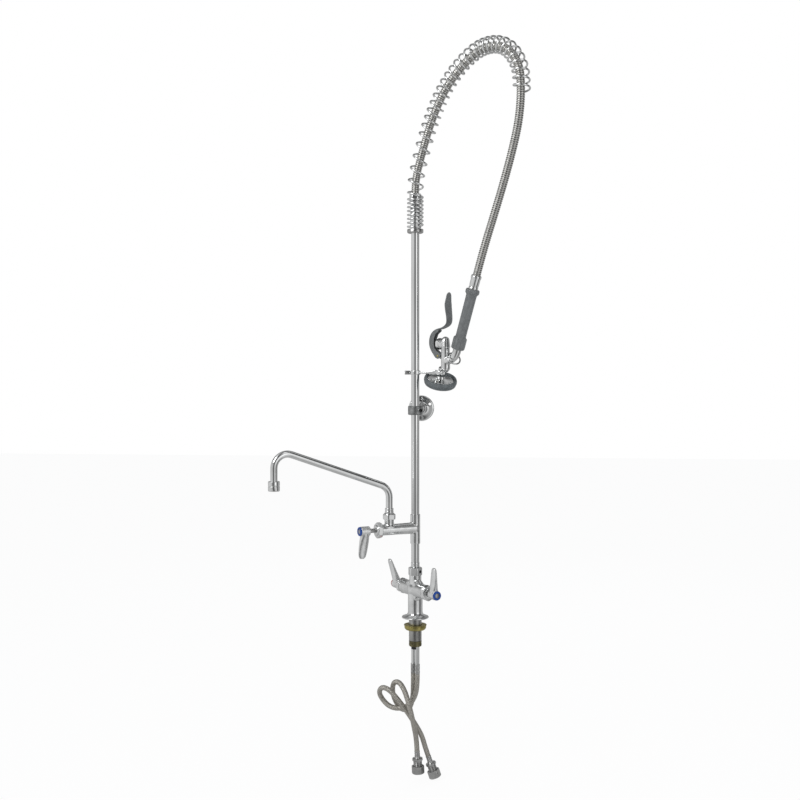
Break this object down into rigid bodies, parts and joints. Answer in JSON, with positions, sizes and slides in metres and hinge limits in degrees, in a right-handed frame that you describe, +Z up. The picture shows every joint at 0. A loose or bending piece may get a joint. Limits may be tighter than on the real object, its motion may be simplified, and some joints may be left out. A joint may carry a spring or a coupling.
{
  "type": "pre rinse faucet",
  "caption": "Deck-mounted pre-rinse faucet with overhead spring, spray valve, add-on swing spout, wall bracket and braided supply hoses.",
  "frame": {"origin": "on the deck, under the deck flange, on the riser's axis", "axes": "+Z up along the riser, +Y towards the wall"},
  "size_m": [0.5213, 0.3513, 1.5259],
  "materials": {
    "chrome": "polished",
    "chrome_satin": "brushed",
    "shank_steel": "satin",
    "brass": "aged",
    "clamp_metal": "dull",
    "spring_steel": "polished",
    "hose_steel": "ribbed, satin",
    "braid": "braided",
    "blue_plastic": "gloss",
    "red_plastic": "gloss",
    "grip_plastic": "satin",
    "lever_coating": "satin",
    "bumper_rubber": "matte",
    "dark_rubber": "matte",
    "dark_plastic": "matte",
    "dark_steel": "oxidised"
  },
  "bodies": {
    "fixed_body": {"base_body": "chrome", "base_side_plug": "chrome", "cold_bonnet": "chrome", "hot_bonnet": "chrome", "add_on_bonnet": "chrome", "riser_nut": "chrome", "lower_nipple": "chrome", "add_on_body": "chrome", "spout_nut": "chrome", "riser_pipe": "chrome", "wall_nipple": "chrome", "wall_flange": "chrome", "finger_hook": "chrome", "hook_screw": "chrome", "spring_collar": "chrome", "hose_adapter": "chrome", "spray_body": "chrome", "valve_bonnet": "chrome", "hose_sleeve": "chrome", "supply_tubes": "chrome_satin", "hose_top_ferrules": "chrome_satin", "hose_end_fittings": "chrome_satin", "spray_face": "chrome_satin", "face_screw": "chrome_satin", "grip_tube": "chrome_satin", "mounting_shank": "shank_steel", "shank_washer": "shank_steel", "shank_lock_nut": "brass", "shank_end_ring": "brass", "coupling_nuts": "brass", "cold_cartridge": "brass", "hot_cartridge": "brass", "add_on_cartridge": "brass", "wall_clamp": "clamp_metal", "overhead_spring": "spring_steel", "valve_spring": "spring_steel", "spray_hose": "hose_steel", "supply_hose_cold": "braid", "supply_hose_hot": "braid", "grip": "grip_plastic", "bumper": "bumper_rubber", "shank_plug": "dark_plastic", "set_screws": "dark_steel"},
    "cold_lever": {"cold_stem": "chrome_satin", "cold_handle": "chrome", "cold_button": "blue_plastic"},
    "hot_lever": {"hot_stem": "chrome_satin", "hot_handle": "chrome", "hot_button": "red_plastic"},
    "add_on_lever": {"add_on_stem": "chrome_satin", "add_on_handle": "chrome", "add_on_button": "blue_plastic"},
    "swing_spout": {"spout": "chrome", "spout_o_rings": "dark_rubber", "spout_outlet": "chrome"},
    "spray_lever": {"squeeze_lever": "lever_coating", "lever_pin": "brass"},
    "spray_plunger": {"plunger": "chrome_satin", "seat_washer": "dark_rubber"},
    "hold_ring": {"hold_down_ring": "chrome"}
  },
  "joints": [
    {"name": "cold_handle_turn", "type": "hinge", "parent": "fixed_body", "child": "cold_lever", "pos_m": [0.04271, -0.05546, 0.06], "axis": [0.6101, -0.7923, 0], "range_deg": [0, 90]},
    {"name": "hot_handle_turn", "type": "hinge", "parent": "fixed_body", "child": "hot_lever", "pos_m": [-0.04271, 0.05546, 0.06], "axis": [0.6101, -0.7923, 0], "range_deg": [-17, 73]},
    {"name": "add_on_handle_turn", "type": "hinge", "parent": "fixed_body", "child": "add_on_lever", "pos_m": [-0.09784, -0.06043, 0.19], "axis": [-0.8508, -0.5255, 0], "range_deg": [0, 90]},
    {"name": "spout_swing", "type": "hinge", "parent": "fixed_body", "child": "swing_spout", "pos_m": [-0.0519, -0.03205, 0.22], "axis": [0, 0, 1], "range_deg": [-70, 150]},
    {"name": "lever_squeeze", "type": "hinge", "parent": "fixed_body", "child": "spray_lever", "pos_m": [0.05146, -0.00337, 0.5544], "axis": [0.6293, 0.7771, 0], "range_deg": [0, 10], "stiffness_Nm_per_rad": 1.2, "springref_deg": -5.73},
    {"name": "plunger_slide", "type": "slide", "parent": "fixed_body", "child": "spray_plunger", "axis": [0.7771, -0.6293, 0], "range_m": [0, 0.0047]},
    {"name": "ring_swing", "type": "hinge", "parent": "fixed_body", "child": "hold_ring", "pos_m": [0.08255, -0.02854, 0.5507], "axis": [-0.4219, 0.7022, -0.5736], "range_deg": [-15, 15]}
  ],
  "couplings": [
    {"joint": "plunger_slide", "follows": "lever_squeeze", "m_per_rad": 0.0265}
  ]
}
